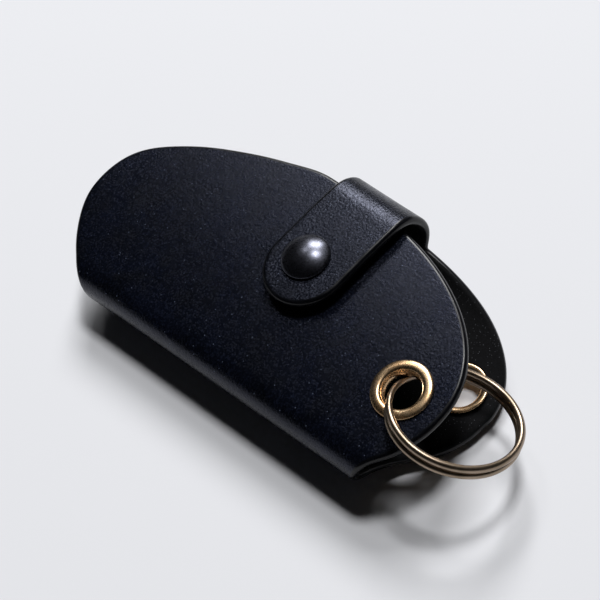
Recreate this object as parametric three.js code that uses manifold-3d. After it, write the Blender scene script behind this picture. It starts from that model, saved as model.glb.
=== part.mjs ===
// Leather key cover: one folded leather pattern with a snap strap, two brass eyelets and a split ring.
// Millimetres, +Z up. X runs along the fold, Y from the fold to the free edges.
import * as THREE from "three";
import { mergeVertices } from "three/addons/utils/BufferGeometryUtils.js";
import Module from "manifold-3d";

const wasm = await Module();
wasm.setup();

// Leather pattern, measured on the flat
const LEATHER = 2.0;
const EDGE_BEVEL = 0.4;
const LEAF_HALF_LENGTH = 50.5;
const LEAF_HALF_HEIGHT = 28.5;
const LEAF_OFFSET = 24.5;
const REAR_REACH = 26;
const NECK_FILLET = 10;
const NECK_SHIFT = 2.6;

// How the pattern is bent
const FOLD_RADIUS = 4.1;
const FOLD_FRONT_SHARE = 9.8;
const FRONT_RISE = THREE.MathUtils.degToRad(15);
const FRONT_BOW_RADIUS = 250;
const REAR_DIP = THREE.MathUtils.degToRad(20.5);
const REAR_BOW_RADIUS = 47;
const REST_FLAT = 4;
const REAR_CURL = 10;
const REAR_CURL_RADIUS = 14;

// Closing strap
const STRAP_WIDTH = 18.6;
const STRAP_THICKNESS = 1.9;
const STRAP_X = 6.8;
const STRAP_LIFT = 1.3;
const STRAP_ROOT_FILLET = 3;
const STRAP_ROOT_OVERLAP = 6;
const STRAP_END_MARGIN = 10.3;
const STRAP_HINGE_BEFORE_CREST = THREE.MathUtils.degToRad(45);

// Snap fastener
const SNAP_FROM_FOLD = 34.6;
const CAP_DIAMETER = 10;
const CAP_DOME = 1.7;
const CAP_RIM = 0.5;
const CAP_POST_DIAMETER = 2.6;
const SOCKET_FLANGE_DIAMETER = 9;
const SOCKET_CUP_DIAMETER = 6.2;
const SOCKET_BORE_DIAMETER = 4.7;
const SOCKET_WALL = 0.5;
const SPRING_WIRE = 0.35;
const SPRING_OPENING = THREE.MathUtils.degToRad(60);
const STUD_BASE_DIAMETER = 7.6;
const STUD_HEAD_DIAMETER = 3.2;
const STUD_NECK_DIAMETER = 2.6;
const STUD_HEIGHT = 2.0;
const POST_FLANGE_DIAMETER = 8.5;
const POST_PIN_DIAMETER = 2.2;
const SNAP_SHEET = 0.4;

// Eyelets
const EYELET_FLANGE_DIAMETER = 12.5;
const EYELET_HOLE_DIAMETER = 7.4;
const EYELET_WALL = 0.5;
const EYELET_FLARE = 1.6;
const EYELET_DOME = 0.7;
const EYELET_LIP_DIAMETER = 11.4;
const EYELET_LIP_HEIGHT = 0.4;
const EYELET_EDGE = 0.15;
const FRONT_EYELET_FROM_NOSE = 9.8;
const FRONT_EYELET_FROM_FOLD = 23.3;
const REAR_EYELET_FROM_NOSE = 8.5;
const REAR_EYELET_FROM_FOLD = 27.5;

// Split ring
const RING_OUTER_DIAMETER = 26.55;
const RING_WIRE = 1.15;
const RING_PITCH = 1.6;
const RING_SWEEP = THREE.MathUtils.degToRad(668);
const RING_CROSSING = THREE.MathUtils.degToRad(52);
const RING_FROM_EYELET = [10.54, 1.48, -3.63];
const RING_TURN = [-32.85, 10.31, -143.94].map((turn) => THREE.MathUtils.degToRad(turn));

// Clearances
const SEAM_GAP = 0.3;
const SEAT_GAP = 0.12;
const HOLE_GAP = 0.2;
const CUTTER_LENGTH = 4 * LEATHER;

// Facet counts
const LEAF_ROWS = 12;
const AFTER_REST_ROWS = 2;
const LEAF_COLUMNS = 6;
const ROUND_ROWS = 18;
const BEND_ROWS = 12;
const LATHE_SIDES = 32;
const RING_STEPS = 64;
const RING_SIDES = 8;
const RING_CHECK_POINTS = 256;
const SPRING_STEPS = 24;
const SPRING_SIDES = 6;
const DOME_STEPS = 8;
const FLARE_STEPS = 8;
const NEARLY_TIP = THREE.MathUtils.degToRad(86);

// Flat pattern: half length of the leather at a distance from the fold's centre line
const ellipseHalfLength = (fromFold) =>
  LEAF_HALF_LENGTH * Math.sqrt(1 - ((fromFold - LEAF_OFFSET) / LEAF_HALF_HEIGHT) ** 2);
const neckSlope =
  (LEAF_HALF_LENGTH ** 2 * (LEAF_OFFSET - NECK_FILLET)) /
  (LEAF_HALF_HEIGHT ** 2 * ellipseHalfLength(NECK_FILLET));
const neckCurve = neckSlope / (2 * NECK_FILLET);
const neckHalfLength = ellipseHalfLength(NECK_FILLET) - neckCurve * NECK_FILLET ** 2;

function halfLength(fromFold) {
  const distance = Math.abs(fromFold);
  if (distance < NECK_FILLET) return neckHalfLength + neckCurve * distance ** 2;
  return ellipseHalfLength(distance);
}

// The waist lies a little towards the ring's end
function middleX(fromFold) {
  const waist = Math.max(1 - Math.abs(fromFold) / LEAF_OFFSET, 0);
  return NECK_SHIFT * Math.sin((Math.PI / 2) * waist) ** 2;
}

// A path of straight and round stretches in the YZ plane, walked by its length
function walk(path, distance) {
  let { y, z, angle } = path.start;
  let left = distance;
  for (const [index, { length, curvature }] of path.stretches.entries()) {
    const last = index === path.stretches.length - 1;
    const step = last ? left : Math.min(left, length);
    const turned = angle + curvature * step;
    if (curvature === 0) {
      y += step * Math.cos(angle);
      z += step * Math.sin(angle);
    } else {
      y += (Math.sin(turned) - Math.sin(angle)) / curvature;
      z += (Math.cos(angle) - Math.cos(turned)) / curvature;
    }
    angle = turned;
    left -= step;
    if (left <= 0) break;
  }
  return { y, z, angle };
}

// A point off the path: outward is 1 where the outer face lies left of the walk, and -1 right of it
function offPath(path, outward, distance, offset) {
  const { y, z, angle } = walk(path, distance);
  const side = outward * offset;
  return { y: y - side * Math.sin(angle), z: z + side * Math.cos(angle), angle };
}

// The bent leather: the fold's centre is the section's own origin
const foldAngle = Math.PI - FRONT_RISE - REAR_DIP;
const foldLength = FOLD_RADIUS * foldAngle;
const rearShare = foldLength - FOLD_FRONT_SHARE;
const frontStart = {
  y: -FOLD_RADIUS * Math.sin(FRONT_RISE),
  z: FOLD_RADIUS * Math.cos(FRONT_RISE),
};
const rearStart = {
  y: -FOLD_RADIUS * Math.sin(REAR_DIP),
  z: -FOLD_RADIUS * Math.cos(REAR_DIP),
};
const frontPath = {
  outward: 1,
  start: { ...frontStart, angle: FRONT_RISE },
  stretches: [{ length: Infinity, curvature: -1 / FRONT_BOW_RADIUS }],
};
const foldPath = {
  outward: -1,
  start: { ...frontStart, angle: FRONT_RISE + Math.PI },
  stretches: [{ length: foldLength, curvature: 1 / FOLD_RADIUS }],
};
const restStart = REAR_DIP * REAR_BOW_RADIUS;
const rearLength = LEAF_OFFSET + REAR_REACH - rearShare;
const rearPath = {
  outward: -1,
  start: { ...rearStart, angle: -REAR_DIP },
  stretches: [
    { length: restStart, curvature: 1 / REAR_BOW_RADIUS },
    { length: REST_FLAT, curvature: 0 },
    { length: rearLength - restStart - REST_FLAT - REAR_CURL, curvature: 1 / REAR_BOW_RADIUS },
    { length: REAR_CURL, curvature: 1 / REAR_CURL_RADIUS },
  ],
};

// The strap leaves the rear leaf's edge, bends over and follows the front leaf
const strapOffset = LEATHER / 2 + STRAP_LIFT + STRAP_THICKNESS / 2;
const rearEdge = walk(rearPath, rearLength);
const frontCentre = {
  y: frontStart.y + FRONT_BOW_RADIUS * Math.sin(FRONT_RISE),
  z: frontStart.z - FRONT_BOW_RADIUS * Math.cos(FRONT_RISE),
};
const strapRadius = FRONT_BOW_RADIUS + strapOffset;
const fromCentre = { y: rearEdge.y - frontCentre.y, z: rearEdge.z - frontCentre.z };
const bendRadius =
  (strapRadius ** 2 - fromCentre.y ** 2 - fromCentre.z ** 2) /
  (2 * (fromCentre.z * Math.cos(rearEdge.angle) - fromCentre.y * Math.sin(rearEdge.angle) + strapRadius));
const bendCentre = {
  y: rearEdge.y - bendRadius * Math.sin(rearEdge.angle),
  z: rearEdge.z + bendRadius * Math.cos(rearEdge.angle),
};
const landingRise = Math.atan2(frontCentre.y - bendCentre.y, bendCentre.z - frontCentre.z);
const crest = rearLength + bendRadius * (Math.PI - rearEdge.angle);
const landing = crest + bendRadius * landingRise;
const strapHinge = crest - bendRadius * STRAP_HINGE_BEFORE_CREST;
const strapPath = {
  ...rearPath,
  stretches: [
    ...rearPath.stretches,
    { length: landing - rearLength, curvature: 1 / bendRadius },
    { length: Infinity, curvature: 1 / strapRadius },
  ],
};
const snapOnFront = SNAP_FROM_FOLD - FOLD_FRONT_SHARE;
const snapRise = FRONT_RISE - snapOnFront / FRONT_BOW_RADIUS;
const snapOnStrap = landing + strapRadius * (snapRise - landingRise);
const strapRoundStart = snapOnStrap + STRAP_END_MARGIN - STRAP_WIDTH / 2;

// Evenly spaced values from low to high
const spread = (low, high, count) =>
  Array.from({ length: count + 1 }, (_, index) => low + ((high - low) * index) / count);

// Keep the position alone, share vertices and face the triangles outward
function weld(geometry) {
  const bare = new THREE.BufferGeometry();
  bare.setAttribute("position", geometry.getAttribute("position"));
  if (geometry.index) bare.setIndex(geometry.index);
  const merged = mergeVertices(bare, 1e-4);
  const at = merged.getAttribute("position");
  const index = Array.from(merged.index.array);
  const corners = [];
  for (let face = 0; face < index.length; face += 3) {
    const corner = index.slice(face, face + 3);
    if (new Set(corner).size === 3) corners.push(corner);
  }
  const [a, b, c] = [new THREE.Vector3(), new THREE.Vector3(), new THREE.Vector3()];
  let volume = 0;
  for (const [i, j, k] of corners) {
    a.fromBufferAttribute(at, i);
    b.fromBufferAttribute(at, j);
    c.fromBufferAttribute(at, k);
    volume += a.dot(b.cross(c));
  }
  merged.setIndex(corners.flatMap(([i, j, k]) => (volume < 0 ? [i, k, j] : [i, j, k])));
  return merged;
}

function toSolid(geometry) {
  const clean = weld(geometry);
  return new wasm.Manifold(
    new wasm.Mesh({
      numProp: 3,
      vertProperties: new Float32Array(clean.getAttribute("position").array),
      triVerts: new Uint32Array(clean.index.array),
    }),
  );
}

function toGeometry(solid) {
  const { vertProperties, triVerts } = solid.getMesh();
  const geometry = new THREE.BufferGeometry();
  geometry.setAttribute("position", new THREE.BufferAttribute(new Float32Array(vertProperties), 3));
  geometry.setIndex(new THREE.BufferAttribute(new Uint32Array(triVerts), 1));
  return geometry;
}

// A slab of leather along a path. Each row gives [distance, low x, high x] for an inset of its edge
function slab(path, rows, thickness) {
  const flank = thickness / 2 - EDGE_BEVEL;
  const levels = [
    { offset: thickness / 2, inset: EDGE_BEVEL },
    { offset: flank, inset: 0 },
    { offset: -flank, inset: 0 },
    { offset: -thickness / 2, inset: EDGE_BEVEL },
  ];
  const positions = [];
  const known = new Map();
  const vertex = (level, row, column) => {
    const key = `${level} ${row} ${column}`;
    if (!known.has(key)) {
      const { offset, inset } = levels[level];
      const [distance, low, high] = rows[row](inset);
      const { y, z } = offPath(path, path.outward, distance, offset);
      known.set(key, positions.length / 3);
      positions.push(low + ((high - low) * column) / LEAF_COLUMNS, y, z);
    }
    return known.get(key);
  };
  const index = [];
  const quad = (a, b, c, d) => index.push(a, b, c, a, c, d);
  const lastRow = rows.length - 1;
  for (let row = 0; row < lastRow; row += 1) {
    for (let column = 0; column < LEAF_COLUMNS; column += 1) {
      const square = [[row, column], [row, column + 1], [row + 1, column + 1], [row + 1, column]];
      quad(...square.map(([r, c]) => vertex(0, r, c)));
      quad(...square.map(([r, c]) => vertex(3, r, c)).reverse());
    }
  }
  const rim = [];
  for (let column = 0; column < LEAF_COLUMNS; column += 1) rim.push([0, column]);
  for (let row = 0; row < lastRow; row += 1) rim.push([row, LEAF_COLUMNS]);
  for (let column = LEAF_COLUMNS; column > 0; column -= 1) rim.push([lastRow, column]);
  for (let row = lastRow; row > 0; row -= 1) rim.push([row, 0]);
  rim.forEach(([row, column], place) => {
    const [nextRow, nextColumn] = rim[(place + 1) % rim.length];
    for (let level = 0; level < 3; level += 1) {
      quad(
        vertex(level + 1, row, column),
        vertex(level + 1, nextRow, nextColumn),
        vertex(level, nextRow, nextColumn),
        vertex(level, row, column),
      );
    }
  });
  const geometry = new THREE.BufferGeometry();
  geometry.setAttribute("position", new THREE.Float32BufferAttribute(positions, 3));
  geometry.setIndex(index);
  return geometry;
}

// Rows of a leaf: straight steps up to its middle, then steps round the ellipse
function leafRows(share, reachUp, firstMarks) {
  const lower = firstMarks.map((distance) => (inset) => {
    const reach = halfLength(distance + share) - inset;
    const middle = middleX(distance + share);
    return [distance, middle - reach, middle + reach];
  });
  const upper = spread(0, NEARLY_TIP, ROUND_ROWS).map((turn) => (inset) => {
    const reach = (LEAF_HALF_LENGTH - inset) * Math.cos(turn);
    return [LEAF_OFFSET - share + (reachUp - inset) * Math.sin(turn), -reach, reach];
  });
  return [...lower, ...upper];
}

// A turned piece from its closed profile of [radius, height], standing on its own Z axis
function turned(profile) {
  const points = [...profile, profile[0]].map(([radius, height]) => new THREE.Vector2(radius, height));
  return new THREE.LatheGeometry(points, LATHE_SIDES).rotateX(Math.PI / 2);
}

// A plain round cutter through the leather at a place on a path
function drill(diameter, x, path, distance) {
  const { y, z, angle } = walk(path, distance);
  return new THREE.CylinderGeometry(diameter / 2, diameter / 2, CUTTER_LENGTH, LATHE_SIDES)
    .rotateX(Math.PI / 2 + angle)
    .translate(x, y, z);
}

function mesh(name, geometry, material) {
  const piece = new THREE.Mesh(weld(geometry), new THREE.MeshStandardMaterial(material));
  piece.name = name;
  return piece;
}

// A group seated on the outer face of a path, with its own Z axis along the outward normal
function seat(x, path, distance, offset) {
  const { y, z, angle } = offPath(path, path.outward, distance, offset);
  const group = new THREE.Group();
  group.position.set(x, y, z);
  group.rotation.x = path.outward > 0 ? angle : angle + Math.PI;
  return group;
}

const LEATHER_LOOK = { color: "#191b24", roughness: 0.62, metalness: 0 };
const BRASS_LOOK = { color: "#c9a25a", roughness: 0.32, metalness: 1 };
const RING_LOOK = { color: "#9c8a6c", roughness: 0.3, metalness: 1 };
const BLACK_NICKEL_LOOK = { color: "#25262b", roughness: 0.18, metalness: 1 };
const STEEL_LOOK = { color: "#8b8c90", roughness: 0.35, metalness: 1 };

const eyeletHole = EYELET_HOLE_DIAMETER + 2 * EYELET_WALL + 2 * HOLE_GAP;
const frontEyeletX = LEAF_HALF_LENGTH - FRONT_EYELET_FROM_NOSE;
const frontEyeletOnLeaf = FRONT_EYELET_FROM_FOLD - FOLD_FRONT_SHARE;
const rearEyeletX = LEAF_HALF_LENGTH - REAR_EYELET_FROM_NOSE;
const rearEyeletOnLeaf = REAR_EYELET_FROM_FOLD - rearShare;

function frontLeaf() {
  const middle = LEAF_OFFSET - FOLD_FRONT_SHARE;
  const marks = spread(SEAM_GAP / 2, middle, LEAF_ROWS).slice(0, -1);
  const rows = leafRows(FOLD_FRONT_SHARE, LEAF_HALF_HEIGHT, marks);
  const solid = toSolid(slab(frontPath, rows, LEATHER))
    .subtract(toSolid(drill(eyeletHole, frontEyeletX, frontPath, frontEyeletOnLeaf)))
    .subtract(toSolid(drill(POST_PIN_DIAMETER + 2 * HOLE_GAP, STRAP_X, frontPath, snapOnFront)));
  return mesh("front_leaf", toGeometry(solid), LEATHER_LOOK);
}

function spine() {
  const rows = spread(SEAM_GAP / 2, foldLength - SEAM_GAP / 2, BEND_ROWS).map((distance) => (inset) => {
    const reach = halfLength(FOLD_FRONT_SHARE - distance) - inset;
    const middle = middleX(FOLD_FRONT_SHARE - distance);
    return [distance, middle - reach, middle + reach];
  });
  return mesh("spine", slab(foldPath, rows, LEATHER), LEATHER_LOOK);
}

// The strap's low and high edge, with fillets where it grows out of the rear leaf
function strapEdges(distance, inset) {
  const half = STRAP_WIDTH / 2;
  const fillet = (x) => {
    const edge = REAR_REACH * Math.sqrt(1 - (x / LEAF_HALF_LENGTH) ** 2) + LEAF_OFFSET - rearShare;
    const rise = Math.min(Math.max(distance - edge, 0), STRAP_ROOT_FILLET);
    return STRAP_ROOT_FILLET - Math.sqrt(rise * (2 * STRAP_ROOT_FILLET - rise));
  };
  const low = STRAP_X - half;
  const high = STRAP_X + half;
  return [low - fillet(low) + inset, high + fillet(high) - inset];
}

function rearLeaf() {
  const middle = LEAF_OFFSET - rearShare;
  const marks = [
    ...spread(SEAM_GAP / 2, restStart, LEAF_ROWS).slice(0, -1),
    restStart,
    restStart + REST_FLAT,
    ...spread(restStart + REST_FLAT, middle, AFTER_REST_ROWS).slice(1, -1),
  ].filter((distance) => distance < middle);
  const rootRows = [
    ...spread(rearLength - STRAP_ROOT_OVERLAP, rearLength, BEND_ROWS).slice(0, -1),
    ...spread(rearLength, strapHinge - SEAM_GAP / 2, BEND_ROWS),
  ].map((distance) => (inset) => [distance, ...strapEdges(distance, inset)]);
  const solid = toSolid(slab(rearPath, leafRows(rearShare, REAR_REACH, marks), LEATHER))
    .add(toSolid(slab(strapPath, rootRows, STRAP_THICKNESS)))
    .subtract(toSolid(drill(eyeletHole, rearEyeletX, rearPath, rearEyeletOnLeaf)));
  return mesh("rear_leaf", toGeometry(solid), LEATHER_LOOK);
}

function strap() {
  const straight = [
    ...spread(strapHinge + SEAM_GAP / 2, landing, BEND_ROWS).slice(0, -1),
    ...spread(landing, strapRoundStart, LEAF_ROWS).slice(0, -1),
  ].map((distance) => (inset) => [
    distance,
    STRAP_X - STRAP_WIDTH / 2 + inset,
    STRAP_X + STRAP_WIDTH / 2 - inset,
  ]);
  const round = spread(0, NEARLY_TIP, ROUND_ROWS).map((turn) => (inset) => {
    const reach = (STRAP_WIDTH / 2 - inset) * Math.cos(turn);
    return [strapRoundStart + (STRAP_WIDTH / 2 - inset) * Math.sin(turn), STRAP_X - reach, STRAP_X + reach];
  });
  const solid = toSolid(slab(strapPath, [...straight, ...round], STRAP_THICKNESS)).subtract(
    toSolid(drill(SOCKET_CUP_DIAMETER + 2 * HOLE_GAP, STRAP_X, strapPath, snapOnStrap)),
  );
  return mesh("strap", toGeometry(solid), LEATHER_LOOK);
}

// The snap: heights are measured along its axis from the front leaf's outer face
const strapUnder = STRAP_LIFT;
const strapTop = STRAP_LIFT + STRAP_THICKNESS;
const socketTop = strapTop - SEAT_GAP;

function snapCap() {
  const radius = CAP_DIAMETER / 2;
  const seatHeight = strapTop + SEAT_GAP;
  const rimTop = seatHeight + CAP_RIM;
  const ball = (radius ** 2 + CAP_DOME ** 2) / (2 * CAP_DOME);
  const half = Math.asin(radius / ball);
  const dome = spread(half, 0, DOME_STEPS).map((turn) => [
    ball * Math.sin(turn),
    rimTop + CAP_DOME - ball + ball * Math.cos(turn),
  ]);
  const postTip = socketTop - SOCKET_WALL;
  return turned([
    [0, postTip],
    [CAP_POST_DIAMETER / 2, postTip],
    [CAP_POST_DIAMETER / 2, seatHeight],
    [radius - CAP_RIM / 2, seatHeight],
    [radius, seatHeight + CAP_RIM / 2],
    ...dome,
  ]);
}

// The socket: a flange under the strap and a cup in the strap's hole, open below for the stud
const springFloor = strapUnder - SEAT_GAP - SNAP_SHEET;
function snapSocket() {
  const bore = SOCKET_BORE_DIAMETER / 2;
  const cup = SOCKET_CUP_DIAMETER / 2;
  const flange = SOCKET_FLANGE_DIAMETER / 2;
  const postHole = CAP_POST_DIAMETER / 2 + SEAT_GAP;
  const flangeTop = strapUnder - SEAT_GAP;
  return turned([
    [bore, springFloor],
    [flange, springFloor],
    [flange, flangeTop],
    [cup, flangeTop],
    [cup, socketTop],
    [postHole, socketTop],
    [postHole, socketTop - SOCKET_WALL],
    [bore, socketTop - SOCKET_WALL],
  ]);
}

// A split ring of spring wire that grips below the stud's head
function snapSpring() {
  const path = SOCKET_BORE_DIAMETER / 2 - SPRING_WIRE / 2 - SEAT_GAP;
  const height = springFloor + SPRING_WIRE / 2;
  const sweep = 2 * Math.PI - SPRING_OPENING;
  return wire(SPRING_STEPS, SPRING_SIDES, SPRING_WIRE / 2, (share) => {
    const turn = SPRING_OPENING / 2 + sweep * share;
    return { radius: path, turn, height };
  });
}

function snapStud() {
  const base = SEAT_GAP;
  const neck = base + SNAP_SHEET;
  const top = base + STUD_HEIGHT;
  const head = STUD_HEAD_DIAMETER / 2;
  return turned([
    [0, base],
    [STUD_BASE_DIAMETER / 2, base],
    [STUD_BASE_DIAMETER / 2, base + SNAP_SHEET / 2],
    [STUD_NECK_DIAMETER / 2 + SNAP_SHEET, neck],
    [STUD_NECK_DIAMETER / 2, neck + SNAP_SHEET / 2],
    [STUD_NECK_DIAMETER / 2, top - 2 * SNAP_SHEET],
    [head, top - SNAP_SHEET],
    [head - SNAP_SHEET, top],
    [0, top],
  ]);
}

function snapPost() {
  const under = -LEATHER - SEAT_GAP;
  const flange = POST_FLANGE_DIAMETER / 2;
  return turned([
    [0, under - SNAP_SHEET],
    [flange - SNAP_SHEET / 2, under - SNAP_SHEET],
    [flange, under],
    [POST_PIN_DIAMETER / 2, under],
    [POST_PIN_DIAMETER / 2, 0],
    [0, 0],
  ]);
}

// An eyelet: domed flange on the outer face, waisted barrel through the leather, lip rolled over on the
// inner face. The leather's bow is positive where the outer face is convex
function eyelet(bowRadius) {
  const hole = EYELET_HOLE_DIAMETER / 2;
  const barrel = hole + EYELET_WALL;
  const flange = EYELET_FLANGE_DIAMETER / 2;
  const lip = EYELET_LIP_DIAMETER / 2;
  const under = SEAT_GAP;
  const over = -LEATHER - SEAT_GAP + lip ** 2 / (2 * bowRadius);
  const top = under + EYELET_DOME;
  const bottom = over - EYELET_LIP_HEIGHT;
  const waist = spread(-Math.PI / 2, Math.PI / 2, FLARE_STEPS).map((turn) => [
    hole + EYELET_FLARE * (1 - Math.cos(turn)),
    (top + bottom + (top - bottom) * Math.sin(turn)) / 2,
  ]);
  const crown = hole + EYELET_FLARE;
  const dome = spread(0, Math.PI / 2, FLARE_STEPS / 2).map((turn) => [
    crown + (flange - crown) * Math.sin(turn),
    under + EYELET_EDGE + (EYELET_DOME - EYELET_EDGE) * Math.cos(turn),
  ]);
  return turned([
    ...waist,
    ...dome.slice(1),
    [flange - EYELET_EDGE, under],
    [barrel, under],
    [barrel, over],
    [lip - EYELET_EDGE, over],
    [lip, over - EYELET_EDGE],
  ]);
}

// A round wire whose centre line is given by radius, turn and height along its length
function wire(steps, sides, wireRadius, centreLine) {
  const positions = [];
  const index = [];
  const ring = (step) => step * sides;
  for (let step = 0; step <= steps; step += 1) {
    const { radius, turn, height } = centreLine(step / steps);
    for (let side = 0; side < sides; side += 1) {
      const around = (2 * Math.PI * side) / sides;
      const reach = radius + wireRadius * Math.cos(around);
      const rise = wireRadius * Math.sin(around);
      positions.push(reach * Math.cos(turn), reach * Math.sin(turn), height + rise);
    }
  }
  for (let step = 0; step < steps; step += 1) {
    for (let side = 0; side < sides; side += 1) {
      const next = (side + 1) % sides;
      const [a, b] = [ring(step) + side, ring(step) + next];
      const [c, d] = [ring(step + 1) + next, ring(step + 1) + side];
      index.push(a, b, c, a, c, d);
    }
  }
  for (let side = 1; side < sides - 1; side += 1) {
    index.push(0, side + 1, side);
    index.push(ring(steps), ring(steps) + side, ring(steps) + side + 1);
  }
  const geometry = new THREE.BufferGeometry();
  geometry.setAttribute("position", new THREE.Float32BufferAttribute(positions, 3));
  geometry.setIndex(index);
  return geometry;
}

// The split ring's wire: one turn, a crossing to the next layer, and a second turn
const ringRadius = (RING_OUTER_DIAMETER - RING_WIRE) / 2;
function ringLine(share) {
  const turn = RING_SWEEP * share;
  const crossed = THREE.MathUtils.smoothstep(turn, 2 * Math.PI - RING_CROSSING, 2 * Math.PI);
  return { radius: ringRadius, turn, height: RING_PITCH * (crossed - 0.5) };
}

// Least gap between the two turns, measured on points of the centre line
function ringGap() {
  const points = spread(0, 1, RING_CHECK_POINTS).map((share) => {
    const { radius, turn, height } = ringLine(share);
    return { turn, at: new THREE.Vector3(radius * Math.cos(turn), radius * Math.sin(turn), height) };
  });
  let least = Infinity;
  for (const first of points) {
    for (const second of points) {
      if (second.turn - first.turn < Math.PI) continue;
      least = Math.min(least, first.at.distanceTo(second.at));
    }
  }
  return least - RING_WIRE;
}
console.log(`least gap between the turns of the split ring: ${ringGap().toFixed(3)} mm`);

const snap = seat(STRAP_X, frontPath, snapOnFront, LEATHER / 2);
snap.add(
  mesh("snap_cap", snapCap(), BLACK_NICKEL_LOOK),
  mesh("snap_socket", snapSocket(), BLACK_NICKEL_LOOK),
  mesh("snap_spring", snapSpring(), STEEL_LOOK),
  mesh("snap_stud", snapStud(), BLACK_NICKEL_LOOK),
  mesh("snap_post", snapPost(), BLACK_NICKEL_LOOK),
);

const frontEyelet = seat(frontEyeletX, frontPath, frontEyeletOnLeaf, LEATHER / 2);
const keyRing = mesh("key_ring", wire(RING_STEPS, RING_SIDES, RING_WIRE / 2, ringLine), RING_LOOK);
keyRing.position.set(...RING_FROM_EYELET);
keyRing.rotation.set(...RING_TURN);
frontEyelet.add(mesh("front_eyelet", eyelet(Infinity), BRASS_LOOK), keyRing);

const rearEyelet = seat(rearEyeletX, rearPath, rearEyeletOnLeaf, LEATHER / 2);
rearEyelet.add(mesh("rear_eyelet", eyelet(-REAR_BOW_RADIUS), BRASS_LOOK));

const section = new THREE.Group();
section.add(frontLeaf(), spine(), rearLeaf(), strap(), snap, frontEyelet, rearEyelet);

// Stand the cover on the ground with its origin under the middle of its box
const cover = new THREE.Group();
cover.add(section);
const box = new THREE.Box3().setFromObject(cover, true);
section.position.set(-(box.min.x + box.max.x) / 2, -(box.min.y + box.max.y) / 2, -box.min.z);

export default cover;
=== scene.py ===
# Dark leather key cover with a snap strap, brass eyelets and a split ring, lying on a pale floor.
# Lengths are in millimetres until a mesh or an object is made. The leather is drawn as its flat pattern
# and bent along the same paths as the solids it stands for.
import math

import bmesh
import bpy
import numpy as np
from mathutils import Matrix, Vector
from mathutils.geometry import delaunay_2d_cdt


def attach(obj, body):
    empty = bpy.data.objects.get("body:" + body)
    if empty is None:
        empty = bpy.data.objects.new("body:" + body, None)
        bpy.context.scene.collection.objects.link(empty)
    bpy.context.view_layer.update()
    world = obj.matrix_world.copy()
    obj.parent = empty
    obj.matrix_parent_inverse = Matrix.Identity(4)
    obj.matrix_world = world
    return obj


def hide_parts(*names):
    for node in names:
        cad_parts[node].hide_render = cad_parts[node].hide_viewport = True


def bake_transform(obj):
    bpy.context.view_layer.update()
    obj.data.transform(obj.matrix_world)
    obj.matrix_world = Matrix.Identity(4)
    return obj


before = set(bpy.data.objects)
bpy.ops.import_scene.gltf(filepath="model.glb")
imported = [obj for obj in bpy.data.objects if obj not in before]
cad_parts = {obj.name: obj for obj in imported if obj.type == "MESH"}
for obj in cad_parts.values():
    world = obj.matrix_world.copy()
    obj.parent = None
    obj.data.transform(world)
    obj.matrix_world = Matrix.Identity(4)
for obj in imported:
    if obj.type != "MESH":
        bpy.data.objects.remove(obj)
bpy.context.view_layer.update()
MM = 0.001

# Where the fold's centre lies in the shared frame
FOLD_CENTRE = (-6.9633, -20.6439, 8.9170)

# Leather pattern and bends
LEATHER = 2.0
LEAF_HALF_LENGTH = 50.5
LEAF_HALF_HEIGHT = 28.5
LEAF_OFFSET = 24.5
REAR_REACH = 26.0
NECK_FILLET = 10.0
NECK_SHIFT = 2.6
FOLD_RADIUS = 4.1
FOLD_FRONT_SHARE = 9.8
FRONT_RISE = math.radians(15)
FRONT_BOW_RADIUS = 250.0
REAR_DIP = math.radians(20.5)
REAR_BOW_RADIUS = 47.0
REST_FLAT = 4.0
REAR_CURL = 10.0
REAR_CURL_RADIUS = 14.0

# Strap. It was closed a little askew: it lies off the snap's centre and turns towards the ring end
STRAP_WIDTH = 18.6
STRAP_THICKNESS = 1.9
STRAP_X = 6.8
STRAP_LIFT = 1.3
STRAP_ROOT_FILLET = 0.9
STRAP_ROOT_OVERLAP = 6.0
STRAP_END_MARGIN = 10.3
STRAP_HINGE_BEFORE_CREST = math.radians(45)
STRAP_OFF_CENTRE = 0.85
STRAP_SKEW = 0.068
STRAP_SKEW_FADE = 7.0

# Knife work: how far it strayed outside the plain oval, as degrees round the leaf, spread in degrees and
# millimetres, and how the cut edge was rounded and burnished
KNIFE_STEP = 0.9
KNIFE_EASE = 0.25
FRONT_STRAY = ((157, 14, 1.15), (98, 7, 0.75), (122, 10, -0.3), (195, 15, -0.7))
REAR_STRAY = ((35, 28, 1.0),)
EDGE_ROUND = 0.9
EDGE_RINGS = (0.0, 0.04, 0.14, 0.3, 0.48, 0.68, 0.9, 1.4)
GRAIN_BURNISH = EDGE_ROUND + 0.01
FLESH_BURNISH = 0.15

# Snap. The cap and its socket hold the strap between them, the stud and its rivet post the front leaf
SEAT_GAP = 0.12
SNAP_FROM_FOLD = 34.6
SNAP_SHEET = 0.4
CAP_RADIUS = 5.2
CAP_DOME = 1.7
CAP_DOME_SHARE = 0.93
CAP_RIM = 0.5
CAP_CORNER = 0.3
CAP_POST = 1.3
SOCKET_TOP_WALL = 0.5
SOCKET_BORE = 2.35
SOCKET_LEAD_IN = 0.08
SOCKET_FLANGE = 4.5
SOCKET_NECK = 3.2
SOCKET_NECK_HOLE = 3.3
SOCKET_SHOULDER = 3.1
SOCKET_CORNER = 0.2
STUD_HEIGHT = 2.0
STUD_FLANGE = 3.7
STUD_FLANGE_RIM = (3.65, 0.12)
STUD_FLANGE_ROUND = (0.14, 0.1)
STUD_BASE = 0.36
STUD_BASE_RADIUS = 1.8
STUD_NECK = 1.3
STUD_HEAD = 1.6
STUD_ROUND = 0.4
POST_HEAD = 3.9
POST_HEAD_RIM = 4.05
POST_STEM = 1.1
POST_STEM_HOLE = 1.3
SPRING_WIRE_RADIUS = 0.175
SPRING_OPEN = math.radians(30)

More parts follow.
